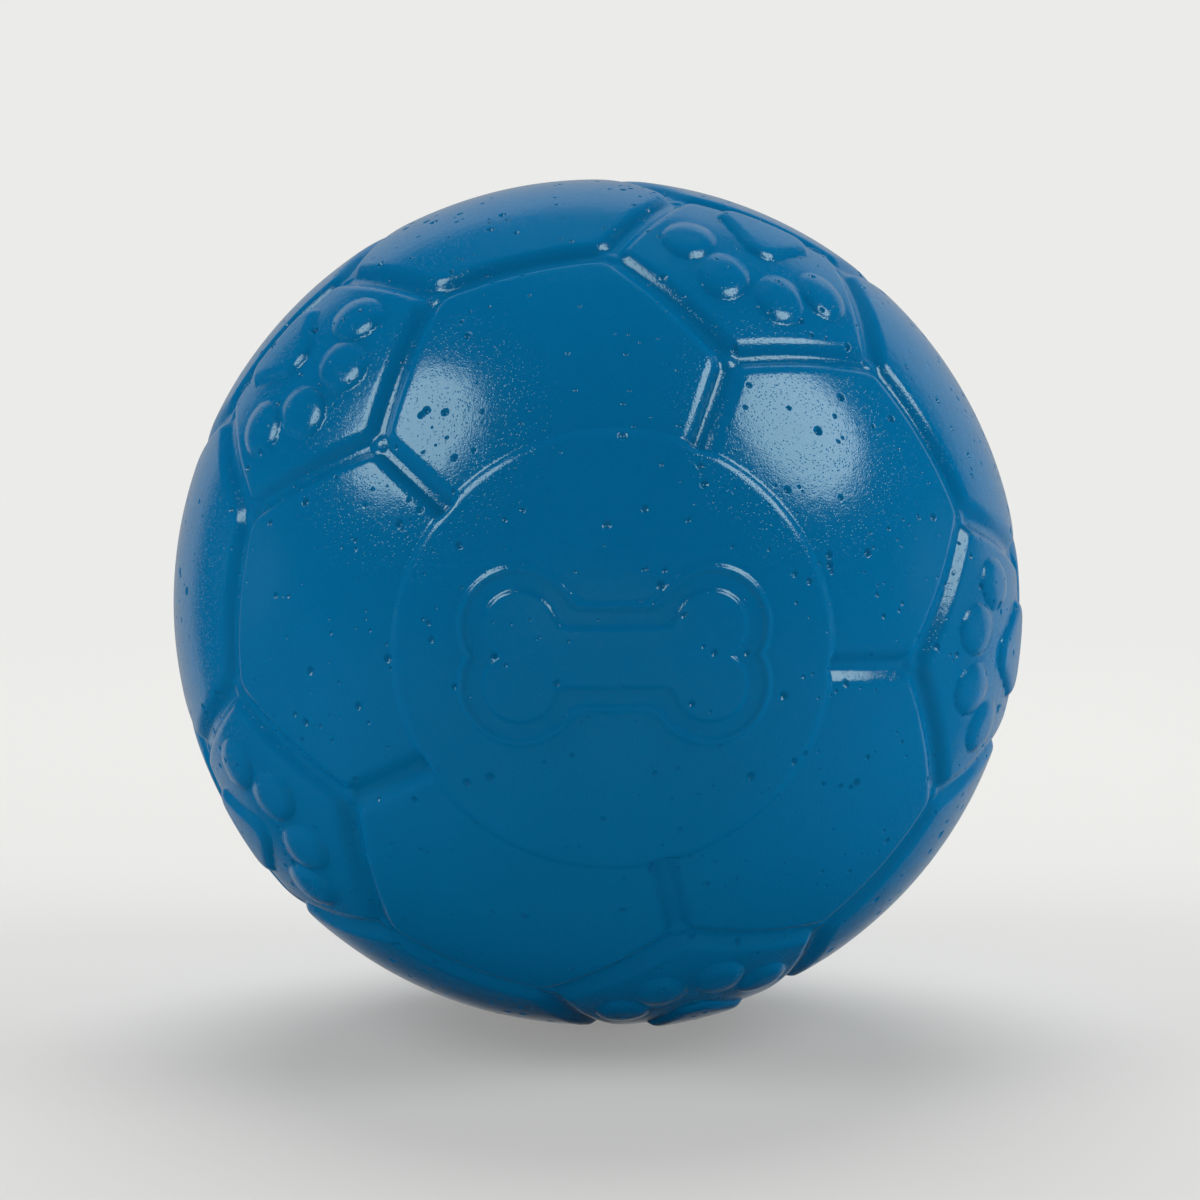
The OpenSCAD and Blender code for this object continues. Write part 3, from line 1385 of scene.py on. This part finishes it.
        # Twice the mouth's radius tells its edge from the panel's own
        out = np.hypot(local[:, 0], local[:, 1])[rim[:, 0]]
        at_mouth = panel.has_vent & (out < 2.0 * self.seat.mouth_r)
        under_r = self.floor_r - self.under
        below = unit(places[np.unique(rim[~at_mouth])]) * under_r
        walls, foot = drop(rim[~at_mouth], len(places), 1)
        points = np.concatenate([places, below])
        faces = corners.tolist() + walls
        if not panel.has_vent:
            faces += [[a, len(points), b] for _, a, b, _ in walls]
            return np.concatenate([points, [panel.outward * (under_r - self.under_middle)]]), faces
        around = unit(local[np.unique(rim[at_mouth])] * [1.0, 1.0, 0.0])
        profile = self.seat.lining(self.ball_r + self.round_rise, under_r - self.under_bore)
        lining = [(around * r + [0.0, 0.0, y]) @ panel.axes.T for r, y in profile]
        walls, bore = drop(rim[at_mouth], len(points), len(profile))
        points = np.concatenate([points, *lining])
        local = points @ panel.axes
        return points, faces + walls + bridge(foot, bore, np.arctan2(local[:, 1], local[:, 0]))

    def piece(self, number: int, mesh: SkinMesh, finish: MouldedPolyethylene) -> bpy.types.Object:
        """Cuts one panel out of the skin and closes it underneath.

        Args:
            number: The panel's number.
            mesh: The finished mesh of the whole skin.
            finish: The moulding's finish.

        Returns:
            The panel's object, riding on the ball.
        """
        panel = self.panels[number]
        triangles = mesh.triangles[mesh.owners == number]
        used, corners = np.unique(triangles, return_inverse=True)
        corners = corners.reshape(-1, 3)
        places, normals = self.surface(panel, mesh.points[used])
        points, faces = self.closed(panel, places, corners)
        made = mesh_piece(f"{panel.name}_skin", points * MM, faces, finish.material())
        unseen = len(points) - len(used)
        made.data.normals_split_custom_set_from_vertices(np.concatenate([normals, np.zeros((unseen, 3))]))
        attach(made, BALL_BODY)
        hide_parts(panel.name)
        return made

    def build(self, finish: MouldedPolyethylene) -> list[bpy.types.Object]:
        """Sculpts the whole skin.

        Args:
            finish: The moulding's finish.

        Returns:
            The panels' objects.
        """
        mesh = SkinMesh()
        self.outline(mesh)
        mesh.settle()
        for _ in range(self.rounds):
            if not mesh.split(self.spacing, self.ball_r):
                break
        log.info("skin: %d triangles", len(mesh.triangles))
        return [self.piece(number, mesh, finish) for number in range(len(self.panels))]


@dataclass
class Shell:
    """The hollow wall under the panels, which keeps its shape from the frame."""

    node: str = "shell"

    def dress(self, finish: MouldedPolyethylene) -> bpy.types.Object:
        """Dresses the wall.

        Args:
            finish: The moulding's finish.

        Returns:
            The wall's object.
        """
        wall_node = frame["nodes"][self.node]
        for slot in wall_node.material_slots:
            slot.material = finish.material()
        return wall_node


@dataclass(frozen=True)
class Lamp:
    """A round or oval soft light that faces the ball, in metres and watts.

    Its direction from the ball is in the camera's axes. The gloss of the ball shows it or not.
    """

    name: str
    seen: tuple[float, float, float]
    far: float
    size: tuple[float, float]
    power: float
    in_gloss: bool = False


@dataclass
class Studio:
    """The floor, the lamps and the camera, in metres and degrees."""

    floor_z: float
    ball_r: float
    azimuth: float = -2.4
    elevation: float = 6.9
    distance_in_radii: float = 11.81
    lens_mm: float = 149.3
    sensor_mm: float = 36.0
    aim_px: tuple[float, float] = (3.5, 2.3)
    frame_px: float = 1200.0
    lamps: tuple[Lamp, ...] = (
        Lamp("right_soft_box", (0.729, 0.623, 0.283), 1.4, (0.8, 0.8), 8.6, in_gloss=True),
        Lamp("left_soft_box", (-0.682, 0.634, 0.365), 1.4, (0.8, 0.8), 8.2, in_gloss=True),
        Lamp("front_fill", (0.0, -0.02, 0.9), 1.6, (1.6, 0.4), 6.0),
        Lamp("right_fill", (0.95, 0.1, -0.3), 1.5, (1.0, 0.46), 16.0),
        Lamp("left_fill", (-0.95, 0.1, -0.3), 1.5, (1.0, 0.46), 11.0),
        Lamp("top_fill", (0.0, 0.85, -0.5), 1.5, (1.2, 1.2), 33.0),
    )
    # The floor's half width and front edge, and where the sweep starts, bends and ends behind the ball
    floor_half: float = 4.0
    floor_front: float = -3.0
    sweep_from: float = 1.6
    sweep_r: float = 0.8
    sweep_deg: tuple[float, float] = (8.0, 90.0)
    sweep_steps: int = 12
    sweep_top: float = 3.0
    room_light: float = 0.4
    # The pale backdrop that the gloss shows: where its middle lies, in the camera's axes, and the
    # cosines of its edge and of its height above the floor
    glow_seen: tuple[float, float, float] = (0.08, 0.03, -1.0)
    glow_edge: tuple[float, float] = (0.65, 0.74)
    glow_foot: tuple[float, float] = (-0.6, -0.2)
    glow_low: float = 0.06
    rear_glow: float = 0.47
    front_glow: float = 0.01
    backdrop: str = "#EBEBE9"

    def view_axes(self) -> Array:
        """Columns that point right, up and back from the camera."""
        a = math.radians(self.azimuth)
        e = math.radians(self.elevation)
        right = [math.cos(a), math.sin(a), 0.0]
        up = [-math.sin(a) * math.sin(e), math.cos(a) * math.sin(e), math.cos(e)]
        back = [math.sin(a) * math.cos(e), -math.cos(a) * math.cos(e), math.sin(e)]
        return np.array([right, up, back]).T

    def camera(self) -> None:
        """Adds the camera at the photograph's angle."""
        data = bpy.data.cameras.new("camera")
        data.lens = self.lens_mm
        data.sensor_width = self.sensor_mm
        data.shift_x = self.aim_px[0] / self.frame_px
        data.shift_y = self.aim_px[1] / self.frame_px
        camera = bpy.data.objects.new("camera", data)
        axes = self.view_axes()
        place = np.eye(4)
        place[:3, :3] = axes
        place[:3, 3] = axes[:, 2] * self.distance_in_radii * self.ball_r
        camera.matrix_world = Matrix(place.tolist())
        bpy.context.scene.collection.objects.link(camera)
        bpy.context.scene.camera = camera

    def light(self, lamp: Lamp) -> None:
        """Adds one lamp, which the camera doesn't see.

        Args:
            lamp: The lamp's place, size and power.
        """
        data = bpy.data.lights.new(lamp.name, "AREA")
        data.shape = "ELLIPSE"
        data.size, data.size_y = lamp.size
        data.energy = lamp.power
        light = bpy.data.objects.new(lamp.name, data)
        away = Vector(self.view_axes() @ np.array(lamp.seen)).normalized()
        light.location = away * lamp.far
        light.rotation_euler = away.to_track_quat("Z", "Y").to_euler()
        light.visible_camera = False
        light.visible_glossy = lamp.in_gloss
        bpy.context.scene.collection.objects.link(light)

    def floor(self) -> None:
        """Adds the pale floor, with a sweep that rises behind the ball."""
        profile = [(self.floor_front, 0.0), (self.sweep_from, 0.0)]
        for angle in np.radians(np.linspace(*self.sweep_deg, self.sweep_steps)):
            back = self.sweep_from + self.sweep_r * math.sin(angle)
            profile.append((back, self.sweep_r * (1.0 - math.cos(angle))))
        profile.append((self.sweep_from + self.sweep_r, self.sweep_top))
        edges = (-self.floor_half, self.floor_half)
        points = [(x, y, z + self.floor_z) for y, z in profile for x in edges]
        faces = [[2 * i, 2 * i + 1, 2 * i + 3, 2 * i + 2] for i in range(len(profile) - 1)]
        sweep = mesh_piece("studio_floor", np.array(points), faces, StudioPaper().material())
        sweep.visible_glossy = False

    def world(self) -> None:
        """Fills the room softly, and gives the gloss a pale backdrop and a dark room before it."""
        world = bpy.data.worlds.new("studio")
        # Without this the gloss would also take its share of the room light
        world.cycles.sampling_method = "NONE"
        bpy.context.scene.world = world
        tree = empty_tree(world)
        in_gloss = add_node(tree, "ShaderNodeLightPath", output="Is Glossy Ray")
        seen = in_gloss.node.outputs["Is Camera Ray"]
        way = add_node(tree, "ShaderNodeTexCoord", output="Generated")
        middle = tuple(unit(self.view_axes() @ np.array(self.glow_seen)))
        behind = add_node(tree, "ShaderNodeVectorMath", (way, middle), "Value", operation="DOT_PRODUCT")
        height = add_node(tree, "ShaderNodeSeparateXYZ", (way,), "Z")
        fades = (
            (behind, *self.glow_edge, self.front_glow, self.rear_glow),
            (height, *self.glow_foot, self.glow_low),
        )
        faded = tuple(
            add_node(tree, "ShaderNodeMapRange", fade, interpolation_type="SMOOTHSTEP") for fade in fades
        )
        glow = add_node(tree, "ShaderNodeMath", faded, operation="MULTIPLY")
        room, backdrop, ground = (
            add_node(tree, "ShaderNodeBackground", (linear(self.backdrop), strength))
            for strength in (self.room_light, glow, 1.0)
        )
        lit = add_node(tree, "ShaderNodeMixShader", (in_gloss, room, backdrop))
        shown = add_node(tree, "ShaderNodeMixShader", (seen, lit, ground))
        add_node(tree, "ShaderNodeOutputWorld", {"Surface": shown})

    def build(self) -> None:
        """Sets up the whole studio."""
        self.camera()
        self.floor()
        for lamp in self.lamps:
            self.light(lamp)
        self.world()
        bpy.context.scene.view_settings.view_transform = "Standard"


def main() -> None:
    """Builds the ball and its studio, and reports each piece."""
    logging.basicConfig(level=logging.INFO, format="%(name)s: %(message)s")
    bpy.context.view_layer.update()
    contact = next(m for m in frame["record"]["mounts"] if m["name"] == "floor_contact")
    ball_r = -contact["pos_m"][2]
    shell_low, shell_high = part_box("shell")
    floor_r = (shell_high.x - shell_low.x) / 2.0
    finish = MouldedPolyethylene()
    pieces = [Shell().dress(finish)]
    pieces += BallSkin(ball_r=ball_r / MM, floor_r=floor_r / MM).build(finish)
    pieces.append(VentPlug().build(InjectionMouldedPolyethylene()))
    for piece in pieces:
        log.info("%s: %d faces", piece.name, len(piece.data.polygons))
    Studio(floor_z=-ball_r, ball_r=ball_r).build()


if __name__ == "__main__":
    main()
